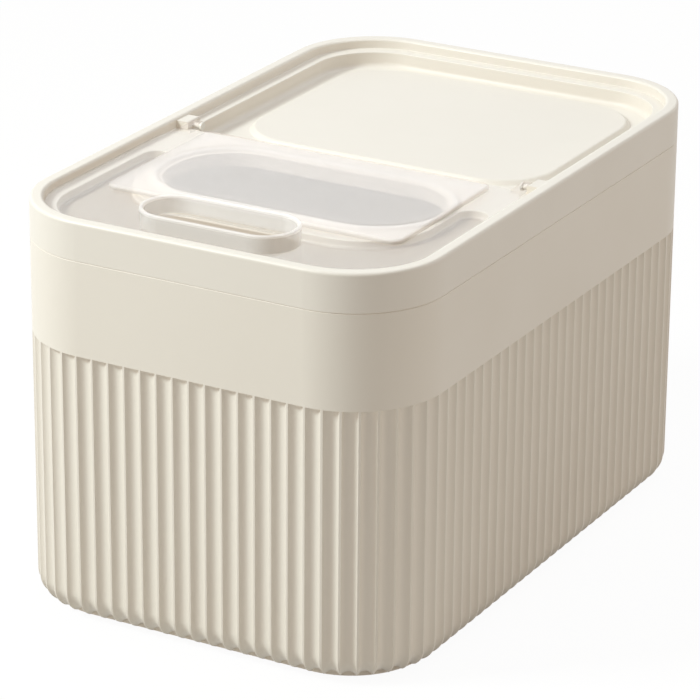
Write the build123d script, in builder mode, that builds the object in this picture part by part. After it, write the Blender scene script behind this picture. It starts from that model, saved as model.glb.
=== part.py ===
from build123d import *
import math
import os

os.makedirs("parts", exist_ok=True)

# Dog food bin with a lift-off lid and a clear flap that folds back into the lid.
# Millimetres, +Z up. The origin is on the floor under the middle of the bin,
# the front is at -Y and the right side at +X.

# Outside of the bin
width = 235.0
depth = 366.0
height = 224.0
corner_radius = 51.0
lid_height = 21.0
band_height = 52.0
bottom_radius = 13.5
seam_chamfer = 0.6

# Tub
wall = 4.0
floor_thickness = 3.0
inner_bottom_radius = 10.0
flute_depth = 2.4
flute_width = 8.6
flutes_per_quarter = 29
flute_end_angle = 72.0

# Feet
foot_diameter = 18.0
foot_thickness = 2.2
foot_stand = 1.0
foot_inset_x = 40.0
foot_inset_y = 40.0
foot_edge = 0.5

# Lid
sheet = 2.2
rim_width = 7.2
rim_edge_radius = 1.8
plug_depth = 8.0
ledge_width = 7.1
ledge_drop = 5.7
channel_drop = 10.6
rear_drop = 14.8
rear_front_edge = 171.0
rear_front_corner = 9.0
rear_floor_radius = 3.0
channel_floor_radius = 2.0
island_half_width = 86.5
island_front = 58.0
island_corner = 40.0
channel_length = 124.0
lid_edge_radius = 0.6
panel_half_width = 93.0
panel_front = 193.0
panel_back_gap = 8.5
panel_corner = 34.0
panel_rise = 2.6
panel_slope = 2.4
panel_edge_radius = 2.0

# Pour opening in the island, and its silicone ring
opening_half_width = 79.0
opening_front = 79.5
opening_back = 152.0
opening_corner = 34.0
throat_depth = 7.5
ring_offset = 2.8
ring_width = 3.0
ring_height = 2.7
ring_seat = 0.8
ring_edge_radius = 0.9

# Seal between the lid and the tub
seal_height = 3.0
seal_groove = 1.0
seal_gap = 0.3
seal_above_plug_end = 3.2
seal_edge_radius = 0.8

# Clear flap
flap_gap = 0.7
flap_lift = 0.3
flap_sheet = 1.8
flap_back = 166.9
flap_back_corner = 23.0
box_half_width = 87.0
box_front = 60.0
box_back = 162.5
box_corner = 6.0
box_rise = 4.4
box_edge_radius = 1.6
skirt_wall = 1.6
skirt_gap = 0.1
flap_edge = 0.4
grip_length = 85.0
grip_width = 32.6
grip_wall = 2.2
grip_y = 32.0
grip_above_rim = 6.0
grip_edge_radius = 0.9

# Hinge
hinge_y = 175.0
pin_radius = 1.5
pin_length = 9.8
pin_head_radius = 2.3
pin_head_height = 1.0
pin_running_gap = 0.08
ear_radius = 2.9
ear_width = 4.3
ear_side_gap = 0.3
boss_length = 12.0
boss_top_drop = 1.4
boss_edge_radius = 1.2
pocket_gap = 0.8
arm_length = 15.0

front = -depth / 2
seam_height = height - lid_height
flute_top = seam_height - band_height
tub_bottom = foot_stand
plug_outer = rim_width - sheet
ledge_inset = rim_width + ledge_width
ledge_z = height - ledge_drop
channel_z = height - channel_drop
rear_z = height - rear_drop
under_z = rear_z - sheet
plug_bottom = seam_height - plug_depth
flap_z = ledge_z + flap_lift
flap_top = flap_z + flap_sheet
hinge_z = flap_z + flap_sheet / 2
ledge_face = width / 2 - ledge_inset
box_top = flap_z + box_rise
grip_top = height + grip_above_rim
ring_top = ledge_z - ring_seat + ring_height
hinge_line = front + hinge_y
ear_outer = ledge_face - ear_side_gap
ear_inner = ear_outer - ear_width
head_face = ear_inner - ear_side_gap
seal_z = plug_bottom + seal_above_plug_end


def rim_outline(inset, mode=Mode.ADD):
    """Outline of the bin, moved inwards by inset, in the running sketch."""
    return RectangleRounded(width - 2 * inset, depth - 2 * inset, corner_radius - inset, mode=mode)


def span_rectangle(half_width, y_front, y_back, corner, mode=Mode.ADD):
    """Rounded rectangle about the middle line, between two distances from the front."""
    with Locations((0, front + (y_front + y_back) / 2)):
        RectangleRounded(2 * half_width, y_back - y_front, corner, mode=mode)


def channel_outline(grow=0.0):
    """The U of the finger channel round the island of the pour opening."""
    side_middle = (island_half_width + ledge_face) / 2
    end_radius = (ledge_face - island_half_width) / 2 + grow
    rim_outline(ledge_inset - grow)
    with Locations((0, front + channel_length + depth / 2)):
        Rectangle(width, depth, mode=Mode.SUBTRACT)
    span_rectangle(island_half_width - grow, island_front + grow, 2 * depth,
                   island_corner - grow, Mode.SUBTRACT)
    with Locations((-side_middle, front + channel_length), (side_middle, front + channel_length)):
        Circle(end_radius)


def recess_outline(grow=0.0):
    """Outline of the deep rear half of the lid, in the running sketch."""
    rim_outline(ledge_inset - grow)
    span_rectangle(ledge_face + grow, rear_front_edge - grow, 2 * depth,
                   rear_front_corner + grow, Mode.INTERSECT)


def ear_pockets(grow=0.0):
    """Outlines of the two pockets that the hinge ears turn in, in the running sketch."""
    inner = ear_inner - pin_head_height - 2 * ear_side_gap - grow
    outer = ledge_face + grow
    with Locations((-(inner + outer) / 2, hinge_line), ((inner + outer) / 2, hinge_line)):
        Rectangle(outer - inner, 2 * (ear_radius + pocket_gap + grow))


def x_shaft(radius, x_start, x_end, mode=Mode.ADD):
    """Round shaft on the hinge line, from x_start to x_end, in the running part."""
    with BuildSketch(Plane.YZ.offset(x_start)) as section:
        with Locations((hinge_line, hinge_z)):
            Circle(radius)
    extrude(section.sketch, amount=x_end - x_start, mode=mode)


def opening_outline(grow=0.0, mode=Mode.ADD):
    """Outline of the pour opening, moved outwards by grow, in the running sketch."""
    span_rectangle(opening_half_width + grow, opening_front - grow, opening_back + grow,
                   opening_corner + grow, mode)


def opening_ring(inner, outer):
    """Ring between two outlines that stand off the pour opening by inner and outer."""
    opening_outline(outer)
    opening_outline(inner, Mode.SUBTRACT)


def flute_planes():
    """Planes at even steps round the outline, with x pointing out of the wall."""
    straight_x = width / 2 - corner_radius
    straight_y = depth / 2 - corner_radius
    arc = corner_radius * math.pi / 2
    quarter = straight_x + straight_y + arc
    planes = []
    for step in range(flutes_per_quarter):
        run = (step + 0.5) * quarter / flutes_per_quarter
        if run < straight_x:
            x, y, turn = run, depth / 2, 90.0
        elif run < straight_x + arc:
            turn = 90.0 - math.degrees((run - straight_x) / corner_radius)
            x = straight_x + corner_radius * math.cos(math.radians(turn))
            y = straight_y + corner_radius * math.sin(math.radians(turn))
        else:
            x, y, turn = width / 2, straight_y - (run - straight_x - arc), 0.0
        for sign_x, sign_y in ((1, 1), (-1, 1), (-1, -1), (1, -1)):
            out = Vector(sign_x * math.cos(math.radians(turn)), sign_y * math.sin(math.radians(turn)), 0)
            planes.append(Plane((sign_x * x, sign_y * y, 0), x_dir=out, z_dir=(0, 0, 1)))
    return planes


# Flute cutter: a round bar that stands outside the wall, then bends under the bottom edge
flute_radius = (flute_width**2 / 4 + flute_depth**2) / (2 * flute_depth)
flute_axis = flute_radius - flute_depth
bend_centre = tub_bottom + bottom_radius
with BuildPart() as flute_cutter:
    with BuildSketch(Plane.XY.offset(bend_centre)):
        with Locations((flute_axis, 0)):
            Circle(flute_radius)
    extrude(amount=flute_top - bend_centre)
    with BuildSketch(Plane.XY.offset(bend_centre)):
        with Locations((flute_axis, 0)):
            Circle(flute_radius)
    bend_axis = Axis((-bottom_radius, 0, bend_centre), (0, 1, 0))
    revolve(axis=bend_axis, revolution_arc=flute_end_angle)

with BuildPart() as tub_space:
    with BuildSketch(Plane.XY.offset(tub_bottom + floor_thickness)):
        rim_outline(wall)
    extrude(amount=seam_height)
    fillet(tub_space.edges().group_by(Axis.Z)[0], inner_bottom_radius)

with BuildPart() as tub:
    with BuildSketch(Plane.XY.offset(tub_bottom)):
        rim_outline(0)
    extrude(amount=seam_height - tub_bottom)
    fillet(tub.edges().group_by(Axis.Z)[0], bottom_radius)
    chamfer(tub.edges().group_by(Axis.Z)[-1], seam_chamfer)
    add(tub_space.part, mode=Mode.SUBTRACT)
    with Locations(*[Location(plane) for plane in flute_planes()]):
        add(flute_cutter.part, mode=Mode.SUBTRACT)
    foot_spots = GridLocations(width - 2 * foot_inset_x, depth - 2 * foot_inset_y, 2, 2)
    with BuildSketch(Plane.XY.offset(tub_bottom)):
        with foot_spots:
            Circle(foot_diameter / 2)
    extrude(amount=foot_thickness - foot_stand, mode=Mode.SUBTRACT)
tub.part.label = "tub"
export_step(tub.part, "parts/tub.step")

with BuildPart() as foot_pads:
    with BuildSketch():
        with foot_spots:
            Circle(foot_diameter / 2)
    extrude(amount=foot_thickness)
    chamfer(foot_pads.edges().group_by(Axis.Z)[0], foot_edge)
for number, pad in enumerate(foot_pads.solids().sort_by(Axis.X).sort_by(Axis.Y)):
    pad.label = "foot_pad_" + str(number + 1)
foot_pads.part.label = "foot_pads"
export_step(foot_pads.part, "parts/foot_pads.step")

# The hollows of the lid, as solids with rounded floors
with BuildPart() as channel_space:
    with BuildSketch(Plane.XY.offset(channel_z)):
        channel_outline()
    extrude(amount=height - channel_z)
    fillet(channel_space.edges().group_by(Axis.Z)[0], channel_floor_radius)

with BuildPart() as recess_space:
    with BuildSketch(Plane.XY.offset(rear_z)):
        recess_outline()
    extrude(amount=height - rear_z)
    fillet(recess_space.edges().group_by(Axis.Z)[0], rear_floor_radius)

panel_back = depth - ledge_inset - panel_back_gap
panel_taper = math.degrees(math.atan2(panel_slope, panel_rise))
with BuildPart() as panel_top:
    with BuildSketch(Plane.XY.offset(rear_z)):
        span_rectangle(panel_half_width, panel_front, panel_back, panel_corner)
    extrude(amount=panel_rise, taper=panel_taper)
    fillet(panel_top.edges().group_by(Axis.Z)[-1], panel_edge_radius)

with BuildPart() as lid:
    with BuildSketch(Plane.XY.offset(seam_height)):
        rim_outline(0)
    extrude(amount=height - seam_height)
    with BuildSketch(Plane.XY.offset(ledge_z)):
        rim_outline(rim_width)
    extrude(amount=ledge_drop, mode=Mode.SUBTRACT)
    fillet(lid.edges().group_by(Axis.Z)[-1], rim_edge_radius)
    with BuildSketch(Plane.XY.offset(seam_height)):
        rim_outline(sheet)
    extrude(amount=height - sheet - seam_height, mode=Mode.SUBTRACT)
    with BuildSketch(Plane.XY.offset(plug_bottom)):
        rim_outline(plug_outer)
        rim_outline(rim_width, Mode.SUBTRACT)
    extrude(amount=height - sheet / 2 - plug_bottom)
    with BuildSketch(Plane.XY.offset(ledge_z - sheet)):
        rim_outline(plug_outer)
    extrude(amount=sheet)
    with BuildSketch(Plane.XY.offset(channel_z - sheet)):
        channel_outline(sheet)
    extrude(amount=ledge_z - channel_z + sheet)
    with BuildSketch(Plane.XY.offset(under_z)):
        recess_outline(sheet)
    extrude(amount=ledge_z - under_z)
    with BuildSketch(Plane.XY.offset(ledge_z - throat_depth)):
        opening_ring(0, sheet)
    extrude(amount=throat_depth)
    pocket_z = hinge_z - ear_radius - pocket_gap
    with BuildSketch(Plane.XY.offset(pocket_z - sheet)):
        ear_pockets(sheet)
    extrude(amount=ledge_z - pocket_z + sheet)
    add(channel_space.part, mode=Mode.SUBTRACT)
    add(recess_space.part, mode=Mode.SUBTRACT)
    fillet(lid.edges().filter_by_position(Axis.Z, ledge_z, ledge_z), lid_edge_radius)
    with BuildSketch(Plane.XY.offset(pocket_z)):
        ear_pockets()
    extrude(amount=height - pocket_z, mode=Mode.SUBTRACT)
    add(panel_top.part)
    with BuildSketch(Plane.XY.offset(under_z)):
        span_rectangle(panel_half_width - sheet, panel_front + sheet, panel_back - sheet,
                       panel_corner - sheet)
    extrude(amount=panel_rise, taper=panel_taper, mode=Mode.SUBTRACT)
    with BuildSketch(Plane.XY.offset(under_z)):
        opening_outline()
    extrude(amount=height - under_z, mode=Mode.SUBTRACT)
    with BuildSketch(Plane.XY.offset(ledge_z - ring_seat)):
        opening_ring(ring_offset, ring_offset + ring_width)
    extrude(amount=ring_seat, mode=Mode.SUBTRACT)
    with BuildSketch(Plane.XY.offset(seal_z)):
        rim_outline(plug_outer)
        rim_outline(plug_outer + seal_groove, Mode.SUBTRACT)
    extrude(amount=seal_height, mode=Mode.SUBTRACT)

boss_face = ledge_face
boss_end = width / 2 - plug_outer - sheet / 2
with BuildPart() as boss:
    with BuildSketch(Plane.XY.offset(ledge_z - sheet)):
        with Locations(((boss_face + boss_end) / 2, hinge_line)):
            Rectangle(boss_end - boss_face, boss_length)
    extrude(amount=height - boss_top_drop - ledge_z + sheet)
    fillet(boss.edges().group_by(Axis.Z)[-1].group_by(Axis.X)[0], boss_edge_radius)
    x_shaft(pin_radius, boss_face, head_face + pin_length, Mode.SUBTRACT)

with BuildPart() as lid_with_bosses:
    add(lid.part)
    x_shaft(pin_radius, boss_face, head_face + pin_length, Mode.SUBTRACT)
    x_shaft(pin_radius, -boss_face, -head_face - pin_length, Mode.SUBTRACT)
    add(boss.part)
    mirror(boss.part, about=Plane.YZ)
lid_with_bosses.part.label = "lid"
export_step(lid_with_bosses.part, "parts/lid.step")

with BuildPart() as lid_seal:
    with BuildSketch(Plane.XY.offset(seal_z)):
        rim_outline(wall + seal_gap)
        rim_outline(plug_outer + seal_groove, Mode.SUBTRACT)
    extrude(amount=seal_height)
    fillet(lid_seal.edges().group_by(SortBy.LENGTH)[-1], seal_edge_radius)
lid_seal.part.label = "lid_seal"
export_step(lid_seal.part, "parts/lid_seal.step")

with BuildPart() as pour_seal:
    with BuildSketch(Plane.XY.offset(ledge_z - ring_seat)):
        opening_ring(ring_offset, ring_offset + ring_width)
    extrude(amount=ring_height)
    fillet(pour_seal.edges().group_by(Axis.Z)[-1], ring_edge_radius)
pour_seal.part.label = "pour_seal"
export_step(pour_seal.part, "parts/pour_seal.step")

# Clear flap: flat flange, raised box over the pour opening, and the collar of the finger slot
with BuildPart() as flap_box:
    with BuildSketch(Plane.XY.offset(flap_z)):
        span_rectangle(box_half_width, box_front, box_back, box_corner)
    extrude(amount=box_rise)
    fillet(flap_box.edges().group_by(Axis.Z)[-1], box_edge_radius)

with BuildPart() as grip_collar:
    with BuildSketch(Plane.XY.offset(flap_z)):
        with Locations((0, front + grip_y)):
            SlotOverall(grip_length + 2 * grip_wall, grip_width + 2 * grip_wall)
            SlotOverall(grip_length, grip_width, mode=Mode.SUBTRACT)
    extrude(amount=grip_top - flap_z)
    fillet(grip_collar.edges().group_by(Axis.Z)[-1], grip_edge_radius)

with BuildPart() as pour_flap:
    flap_half_width = width / 2 - rim_width - flap_gap
    with BuildSketch(Plane.XY.offset(flap_z)):
        rim_outline(rim_width + flap_gap)
        span_rectangle(flap_half_width, -depth, flap_back, flap_back_corner, Mode.INTERSECT)
    extrude(amount=flap_sheet)
    chamfer(pour_flap.edges().group_by(Axis.Z)[-1], flap_edge)
    add(flap_box.part)
    with BuildSketch(Plane.XY.offset(flap_z)):
        span_rectangle(box_half_width - flap_sheet, box_front + flap_sheet,
                       box_back - flap_sheet, box_corner - flap_sheet)
    extrude(amount=box_rise - flap_sheet, mode=Mode.SUBTRACT)
    with BuildSketch(Plane.XY.offset(ring_top + skirt_gap)):
        skirt_middle = ring_offset + ring_width / 2
        opening_ring(skirt_middle - skirt_wall / 2, skirt_middle + skirt_wall / 2)
    extrude(amount=box_top - flap_sheet / 2 - ring_top - skirt_gap)
    with BuildSketch(Plane.XY.offset(flap_z)):
        with Locations((0, front + grip_y)):
            SlotOverall(grip_length + grip_wall, grip_width + grip_wall)
    extrude(amount=flap_sheet, mode=Mode.SUBTRACT)
    add(grip_collar.part)
    with BuildSketch(Plane.XY.offset(flap_z)):
        ear_middle = (ear_inner + ear_outer) / 2
        arm_middle = hinge_line - arm_length / 2
        with Locations((-ear_middle, arm_middle), (ear_middle, arm_middle)):
            Rectangle(ear_width, arm_length)
    extrude(amount=hinge_z + ear_radius - flap_z)
    x_shaft(ear_radius, ear_inner, ear_outer)
    x_shaft(ear_radius, -ear_inner, -ear_outer)
    x_shaft(pin_radius + pin_running_gap, ear_inner, ear_outer, Mode.SUBTRACT)
    x_shaft(pin_radius + pin_running_gap, -ear_inner, -ear_outer, Mode.SUBTRACT)
pour_flap.part.label = "pour_flap"
export_step(pour_flap.part, "parts/pour_flap.step")

for side_name, side in (("left", -1), ("right", 1)):
    with BuildPart() as pin:
        x_shaft(pin_radius, side * head_face, side * (head_face + pin_length))
        x_shaft(pin_head_radius, side * head_face, side * (head_face - pin_head_height))
    pin.part.label = "hinge_pin_" + side_name
    export_step(pin.part, "parts/hinge_pin_" + side_name + ".step")
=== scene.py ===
import bpy, bmesh, math
from mathutils import Matrix, Vector

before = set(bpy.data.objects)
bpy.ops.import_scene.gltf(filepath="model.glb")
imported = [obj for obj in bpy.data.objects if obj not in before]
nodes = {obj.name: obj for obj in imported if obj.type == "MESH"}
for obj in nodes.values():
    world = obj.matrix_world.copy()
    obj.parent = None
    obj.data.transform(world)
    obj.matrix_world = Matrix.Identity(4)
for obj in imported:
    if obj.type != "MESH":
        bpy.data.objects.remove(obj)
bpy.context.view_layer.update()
scene = bpy.context.scene
scene.view_settings.view_transform = "Standard"

# Camera. It stands off the front right corner of the bin and looks down on the lid. The lens is
# long, so the upright edges stay almost parallel.
azimuth = math.radians(29.149)
elevation = math.radians(21.634)
roll = math.radians(0.445)
camera_distance = 2.0510
aim = Vector((0.0, -0.0184, 0.1175))
aim_shift_right = 0.00115
aim_shift_up = -0.0055
camera_data = bpy.data.cameras.new("camera")
camera_data.sensor_width = 36.0
camera_data.lens = 194.95
camera_data.clip_start = 0.05
camera = bpy.data.objects.new("camera", camera_data)
scene.collection.objects.link(camera)
backward = Vector((math.sin(azimuth) * math.cos(elevation),
                   -math.cos(azimuth) * math.cos(elevation),
                   math.sin(elevation)))
level_right = Vector((math.cos(azimuth), math.sin(azimuth), 0.0))
level_up = backward.cross(level_right)
right = level_right * math.cos(roll) + level_up * math.sin(roll)
up = level_up * math.cos(roll) - level_right * math.sin(roll)
place = aim + backward * camera_distance + right * aim_shift_right + up * aim_shift_up
camera.matrix_world = Matrix((
    (right.x, up.x, backward.x, place.x),
    (right.y, up.y, backward.y, place.y),
    (right.z, up.z, backward.z, place.z),
    (0.0, 0.0, 0.0, 1.0)))
scene.camera = camera


# Lamps. The key hangs high at the front left, a broad lamp hangs over the rear of the lid, and
# a weak one stands low at the right. The two that hang are a little cool, the low one is warm.
def softbox(name, position, side, power, colour):
    """A square soft lamp that looks at the middle of the bin."""
    middle_of_bin = Vector((0.0, 0.0, 0.12))
    lamp_data = bpy.data.lights.new(name, "AREA")
    lamp_data.shape = "SQUARE"
    lamp_data.size = side
    lamp_data.energy = power
    lamp_data.color = colour
    lamp = bpy.data.objects.new(name, lamp_data)
    scene.collection.objects.link(lamp)
    lamp.location = position
    lamp.rotation_euler = (middle_of_bin - lamp.location).to_track_quat("-Z", "Y").to_euler()


softbox("key_lamp", position=(-1.21, -1.14, 1.52), side=0.5, power=40.0, colour=(0.87, 0.94, 0.955))
softbox("top_lamp", position=(0.3, 0.55, 1.9), side=1.2, power=10.9, colour=(0.72, 0.85, 1.0))
softbox("side_fill", position=(1.9, 0.6, 0.30), side=0.5, power=4.5, colour=(1.0, 0.90, 0.79))

# Room. It lights the bin from all round with a weak warm light, which tints the shaded sides.
# The eye, mirrors and clear pieces see it plain white.
room = bpy.data.worlds.new("white_room")
scene.world = room
room.use_nodes = True
room_tree = room.node_tree
room_tree.nodes.clear()


def feed(tree, socket, value):
    """Link a socket to another one, or set it to a number or a colour."""
    if isinstance(value, bpy.types.NodeSocket):
        tree.links.new(value, socket)
    elif isinstance(value, tuple):
        socket.default_value = (*value, 1.0)
    else:
        socket.default_value = value


def calculate(tree, operation, *values):
    """The result of a math node on sockets and numbers."""
    node = tree.nodes.new("ShaderNodeMath")
    node.operation = operation
    for socket, value in zip(node.inputs, values):
        feed(tree, socket, value)
    return node.outputs[0]


def blend_shaders(tree, factor, first, second):
    """The first shader where the factor is 0, and the second where it is 1."""
    node = tree.nodes.new("ShaderNodeMixShader")
    feed(tree, node.inputs["Fac"], factor)
    tree.links.new(first, node.inputs[1])
    tree.links.new(second, node.inputs[2])
    return node.outputs["Shader"]


def seen_directly(tree):
    """1 for rays from the eye, and for those that mirror or pass through something clear."""
    ray = tree.nodes.new("ShaderNodeLightPath")
    mirrored = calculate(tree, "MAXIMUM", ray.outputs["Is Camera Ray"], ray.outputs["Is Glossy Ray"])
    return calculate(tree, "MAXIMUM", mirrored, ray.outputs["Is Transmission Ray"])


room_light = room_tree.nodes.new("ShaderNodeBackground")
room_light.inputs["Color"].default_value = (1.0, 0.89, 0.79, 1.0)
room_light.inputs["Strength"].default_value = 0.43
room_white = room_tree.nodes.new("ShaderNodeBackground")
room_white.inputs["Color"].default_value = (1.0, 1.0, 1.0, 1.0)
room_white.inputs["Strength"].default_value = 1.0
room_shader = blend_shaders(room_tree, seen_directly(room_tree),
                            room_light.outputs["Background"], room_white.outputs["Background"])
room_output = room_tree.nodes.new("ShaderNodeOutputWorld")
room_tree.links.new(room_shader, room_output.inputs["Surface"])

# Floor. A white sweep of paper, so bright that only a faint shadow of the bin stays on it.
# It is clear from below, so the underside of the bin can be seen.
floor_half_side = 3.0
floor_below_feet = 0.0002
floor_glow = 0.9
floor_mesh = bpy.data.meshes.new("floor")
plan = bmesh.new()
bmesh.ops.create_grid(plan, x_segments=1, y_segments=1, size=floor_half_side,
                      matrix=Matrix.Translation((0.0, 0.0, -floor_below_feet)))
plan.to_mesh(floor_mesh)
plan.free()
floor = bpy.data.objects.new("floor", floor_mesh)
scene.collection.objects.link(floor)
paper = bpy.data.materials.new("white_paper")
paper.use_nodes = True
paper_tree = paper.node_tree
paper_shader = paper_tree.nodes["Principled BSDF"]
paper_shader.inputs["Base Color"].default_value = (0.55, 0.54, 0.52, 1.0)
paper_shader.inputs["Roughness"].default_value = 0.9
paper_shader.inputs["Specular IOR Level"].default_value = 0.1
paper_glow = paper_tree.nodes.new("ShaderNodeEmission")
paper_glow.inputs["Strength"].default_value = 1.05
glow_share = calculate(paper_tree, "MULTIPLY", seen_directly(paper_tree), floor_glow)
paper_top = blend_shaders(paper_tree, glow_share, paper_shader.outputs["BSDF"],
                          paper_glow.outputs["Emission"])
paper_side = paper_tree.nodes.new("ShaderNodeNewGeometry")
paper_clear = paper_tree.nodes.new("ShaderNodeBsdfTransparent")
paper_both = blend_shaders(paper_tree, paper_side.outputs["Backfacing"], paper_top,
                           paper_clear.outputs["BSDF"])
paper_tree.links.new(paper_both, paper_tree.nodes["Material Output"].inputs["Surface"])
floor_mesh.materials.append(paper)


# Moulded plastic. The skin that a spark-eroded mould leaves: a soft mottle in the colour, a
# little unevenness in the gloss, and a fine even grain. All pieces but the clear flap have it.
def ramp(tree, value, start, end, low=0.0, high=1.0):
    """A value that goes from low to high while the given one goes from start to end."""
    node = tree.nodes.new("ShaderNodeMapRange")
    node.inputs["From Min"].default_value = start
    node.inputs["From Max"].default_value = end
    feed(tree, node.inputs["To Min"], low)
    feed(tree, node.inputs["To Max"], high)
    tree.links.new(value, node.inputs["Value"])
    return node.outputs["Result"]


def blend_colours(tree, factor, first, second, blend_type="MIX"):
    """The first colour where the factor is 0, and its blend with the second where it is 1."""
    node = tree.nodes.new("ShaderNodeMix")
    node.data_type = "RGBA"
    node.blend_type = blend_type
    tree.links.new(factor, node.inputs["Factor"])
    feed(tree, node.inputs["A"], first)
    feed(tree, node.inputs["B"], second)
    return node.outputs["Result"]


def noise_of_size(tree, coordinates, size, detail):
    """Noise whose patches are about size metres across."""
    noise = tree.nodes.new("ShaderNodeTexNoise")
    noise.inputs["Detail"].default_value = detail
    noise.inputs["Roughness"].default_value = 0.55
    tree.links.new(coordinates, noise.inputs["Vector"])
    tree.links.new(calculate(tree, "DIVIDE", 1.0, size), noise.inputs["Scale"])
    return noise.outputs["Fac"]


skin = bpy.data.node_groups.new("moulded_skin", "ShaderNodeTree")
for socket_name, kind in (("Colour", "Color"), ("Deep colour", "Color"), ("Mottle size", "Float"),
                          ("Grain size", "Float"), ("Dull", "Float"), ("Glossy", "Float")):
    skin.interface.new_socket(name=socket_name, in_out="INPUT", socket_type="NodeSocket" + kind)
for socket_name, kind in (("Colour", "Color"), ("Roughness", "Float"), ("Height", "Float")):
    skin.interface.new_socket(name=socket_name, in_out="OUTPUT", socket_type="NodeSocket" + kind)
skin_in = skin.nodes.new("NodeGroupInput")
skin_out = skin.nodes.new("NodeGroupOutput")
skin_place = skin.nodes.new("ShaderNodeTexCoord")
mottle = noise_of_size(skin, skin_place.outputs["Object"], skin_in.outputs["Mottle size"], detail=3.0)
grain = noise_of_size(skin, skin_place.outputs["Object"], skin_in.outputs["Grain size"], detail=2.0)
skin_colour = blend_colours(skin, mottle, skin_in.outputs["Colour"], skin_in.outputs["Deep colour"])
skin_roughness = ramp(skin, mottle, start=0.3, end=0.7,
                      low=skin_in.outputs["Glossy"], high=skin_in.outputs["Dull"])
skin.links.new(skin_colour, skin_out.inputs["Colour"])
skin.links.new(skin_roughness, skin_out.inputs["Roughness"])
skin.links.new(grain, skin_out.inputs["Height"])


def moulded_plastic(name, colour, deep, mottle_size, grain_size, dull, glossy, grain_depth):
    """A material with the moulded skin on it."""
    material = bpy.data.materials.new(name)
    material.use_nodes = True
    tree = material.node_tree
    shader = tree.nodes["Principled BSDF"]
    surface = tree.nodes.new("ShaderNodeGroup")
    surface.name = "moulded_skin"
    surface.node_tree = skin
    for socket_name, value in (("Colour", colour), ("Deep colour", deep),
                               ("Mottle size", mottle_size), ("Grain size", grain_size),
                               ("Dull", dull), ("Glossy", glossy)):
        feed(tree, surface.inputs[socket_name], value)
    bump = tree.nodes.new("ShaderNodeBump")
    bump.inputs["Strength"].default_value = 0.35
    bump.inputs["Distance"].default_value = grain_depth
    tree.links.new(surface.outputs["Colour"], shader.inputs["Base Color"])
    tree.links.new(surface.outputs["Roughness"], shader.inputs["Roughness"])
    tree.links.new(surface.outputs["Height"], bump.inputs["Height"])
    tree.links.new(bump.outputs["Normal"], shader.inputs["Normal"])
    return material


# Tub. One injection moulding in cream polypropylene, 4 mm thick, smooth under the lid and
# fluted below. The wall is thin enough to let some light into the bin.
def thin_wall(material, share):
    """Let a share of the lamp light pass through the wall, as thin pale plastic does."""
    tree = material.node_tree
    ray = tree.nodes.new("ShaderNodeLightPath")
    through = tree.nodes.new("ShaderNodeBsdfTransparent")
    through.inputs["Color"].default_value = (1.0, 0.88, 0.80, 1.0)
    passed = calculate(tree, "MULTIPLY", ray.outputs["Is Shadow Ray"], share)
    wall = blend_shaders(tree, passed, tree.nodes["Principled BSDF"].outputs["BSDF"],
                         through.outputs["BSDF"])
    tree.links.new(wall, tree.nodes["Material Output"].inputs["Surface"])


def dress(node_name, material):
    """Give a CAD node its finished material."""
    mesh = nodes[node_name].data
    mesh.materials.clear()
    mesh.materials.append(material)


tub_plastic = moulded_plastic(
    "cream_tub_plastic", colour=(0.811, 0.757, 0.668), deep=(0.790, 0.733, 0.643),
    mottle_size=0.06, grain_size=0.0007, dull=0.50, glossy=0.42, grain_depth=0.00004)
thin_wall(tub_plastic, share=0.4)
dress("tub", tub_plastic)

# Foot pads. Four discs of soft warm grey rubber, pressed into round seats in the floor of the
# tub. They stand 1 mm proud of it, and their lower edge is bevelled.
foot_rubber = moulded_plastic(
    "warm_grey_rubber", colour=(0.60, 0.57, 0.52), deep=(0.54, 0.51, 0.46),
    mottle_size=0.01, grain_size=0.0005, dull=0.85, glossy=0.7, grain_depth=0.00006)
dress("foot_pads", foot_rubber)

# Lid. Moulded in the same cream plastic as the tub, in a mould with a finer polish. Its plug
# wall goes into the tub. The floor of the finger channel carries painted shade: the real floor is
# the same cream plastic, and the darker colour stands in for the shade that it has under the flap.
channel_floor = 0.2134
channel_round = 0.0016
channel_back = -0.045
# Colour of the painted shade on the floor of the finger channel.
channel_painted_shade = (0.60, 0.555, 0.52)
lid_plastic = moulded_plastic(
    "cream_lid_plastic", colour=(0.811, 0.762, 0.680), deep=(0.791, 0.740, 0.658),
    mottle_size=0.06, grain_size=0.0006, dull=0.48, glossy=0.40, grain_depth=0.00003)
lid_tree = lid_plastic.node_tree


def axes_of(tree, vector):
    """The X, Y and Z of a vector, by name."""
    split = tree.nodes.new("ShaderNodeSeparateXYZ")
    tree.links.new(vector, split.inputs[0])
    return split.outputs


lid_place = lid_tree.nodes.new("ShaderNodeTexCoord")
lid_axes = axes_of(lid_tree, lid_place.outputs["Object"])
lid_facing = axes_of(lid_tree, lid_place.outputs["Normal"])
# Painted shade: the upward faces of the channel floor in front of the opening are multiplied by a dark
# colour.
at_floor = calculate(lid_tree, "COMPARE", lid_axes["Z"], channel_floor, channel_round)
in_front = calculate(lid_tree, "LESS_THAN", lid_axes["Y"], channel_back)
faces_up = ramp(lid_tree, lid_facing["Z"], start=0.3, end=0.8)
front_floor = calculate(lid_tree, "MULTIPLY", at_floor, in_front)
channel_shade_mask = calculate(lid_tree, "MULTIPLY", front_floor, faces_up)
lid_colour = blend_colours(lid_tree, channel_shade_mask, lid_tree.nodes["moulded_skin"].outputs["Colour"],
                           channel_painted_shade, "MULTIPLY")
lid_tree.links.new(lid_colour, lid_tree.nodes["Principled BSDF"].inputs["Base Color"])
thin_wall(lid_plastic, share=0.25)
dress("lid", lid_plastic)

# Lid seal. A ring of white silicone in a groove of the plug wall. It fills the gap to the tub
# and holds the lid down.
silicone = moulded_plastic(
    "white_silicone", colour=(0.86, 0.85, 0.81), deep=(0.82, 0.80, 0.76),
    mottle_size=0.012, grain_size=0.0004, dull=0.6, glossy=0.5, grain_depth=0.00002)
dress("lid_seal", silicone)

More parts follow.
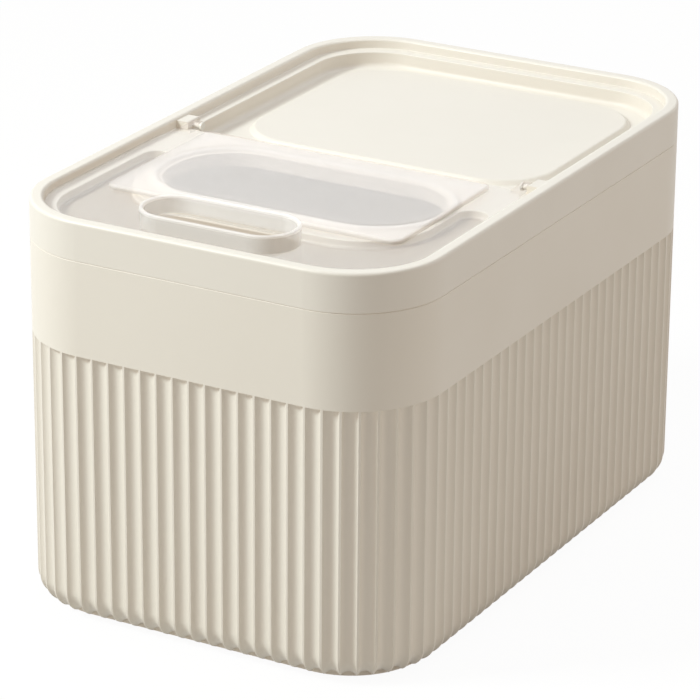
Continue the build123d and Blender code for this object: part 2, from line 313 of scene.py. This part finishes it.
# Pour seal. A lower ring of the same silicone, in a groove round the pour opening. The skirt
# of the flap closes on it.
dress("pour_seal", silicone)

# Hinge pins. Two off-white acetal rods with a turned head, pressed into the bosses of the lid.
# The ears of the flap turn on them.
acetal = moulded_plastic(
    "off_white_acetal", colour=(0.82, 0.80, 0.74), deep=(0.79, 0.77, 0.71),
    mottle_size=0.004, grain_size=0.0003, dull=0.4, glossy=0.3, grain_depth=0.00001)
dress("hinge_pin_left", acetal)
dress("hinge_pin_right", acetal)

# Pour flap. One moulding in clear styrene plastic that turns on the hinge pins. The raised box
# over the opening looks milkier than the flange, and painted shade makes all upright faces greyer.
# A glow on the lip of the finger slot stands in for the light that a cut edge of clear plastic gathers.
flange_top = 0.2205
flange_blur = 0.0001
box_front = -0.128
ears_front = -0.024
lip_foot = 0.2285
lip_blur = 0.0002
lip_roughness = 0.5
haze_roughness = 0.006
thin_share = 0.8
thick_share = 0.55
upright_painted_shade = (0.84, 0.84, 0.83)
flange_tone = (0.95, 0.945, 0.935)
box_tone = (0.94, 0.922, 0.905)
flange_clearness = (0.985, 0.978, 0.972)
box_clearness = (0.99, 0.967, 0.953)
lip_light = (0.45, 0.43, 0.42)
clear = bpy.data.materials.new("clear_plastic")
clear.use_nodes = True
clear_tree = clear.node_tree
clear_shader = clear_tree.nodes["Principled BSDF"]
clear_shader.inputs["IOR"].default_value = 1.3
clear_shader.inputs["Transmission Weight"].default_value = 0.2
clear_shader.inputs["Emission Strength"].default_value = 1.0
clear_place = clear_tree.nodes.new("ShaderNodeTexCoord")
clear_axes = axes_of(clear_tree, clear_place.outputs["Object"])
clear_facing = axes_of(clear_tree, clear_place.outputs["Normal"])
above_flange = ramp(clear_tree, clear_axes["Z"], flange_top - flange_blur, flange_top + flange_blur)
behind_slot = calculate(clear_tree, "GREATER_THAN", clear_axes["Y"], box_front)
in_box = calculate(clear_tree, "MULTIPLY", above_flange, behind_slot)
at_ears = calculate(clear_tree, "GREATER_THAN", clear_axes["Y"], ears_front)
# Painted shade: upright faces of the flap get a greyer colour than level ones.
level = ramp(clear_tree, calculate(clear_tree, "ABSOLUTE", clear_facing["Z"]), start=0.2, end=0.7)
level_tone = blend_colours(clear_tree, in_box, flange_tone, box_tone)
clear_colour = blend_colours(clear_tree, level, upright_painted_shade, level_tone)
clear_tree.links.new(clear_colour, clear_shader.inputs["Base Color"])
scuffs = noise_of_size(clear_tree, clear_place.outputs["Object"], size=0.03, detail=4.0)
haze = ramp(clear_tree, scuffs, start=0.35, end=0.75, high=haze_roughness)
at_lip = ramp(clear_tree, clear_axes["Z"], lip_foot - lip_blur, lip_foot + lip_blur, high=lip_roughness)
clear_roughness = calculate(clear_tree, "MAXIMUM", haze, at_lip)
clear_tree.links.new(clear_roughness, clear_shader.inputs["Roughness"])
lip_glow = blend_colours(clear_tree, at_lip, (0.0, 0.0, 0.0), lip_light)
clear_tree.links.new(lip_glow, clear_shader.inputs["Emission Color"])
straight_through = clear_tree.nodes.new("ShaderNodeBsdfTransparent")
clearness = blend_colours(clear_tree, in_box, flange_clearness, box_clearness)
clear_tree.links.new(clearness, straight_through.inputs["Color"])
clear_ray = clear_tree.nodes.new("ShaderNodeLightPath")
unseen = calculate(clear_tree, "MAXIMUM", clear_ray.outputs["Is Shadow Ray"],
                   clear_ray.outputs["Is Diffuse Ray"])
share_by_height = ramp(clear_tree, above_flange, start=0.0, end=1.0, low=thin_share, high=thick_share)
share_at_ears = calculate(clear_tree, "MULTIPLY", at_ears, thin_share)
seen_share = calculate(clear_tree, "MAXIMUM", share_by_height, share_at_ears)
clear_share = calculate(clear_tree, "MAXIMUM", unseen, seen_share)
clear_mix = blend_shaders(clear_tree, clear_share, clear_shader.outputs["BSDF"],
                          straight_through.outputs["BSDF"])
clear_tree.links.new(clear_mix, clear_tree.nodes["Material Output"].inputs["Surface"])
dress("pour_flap", clear)

bpy.context.view_layer.update()
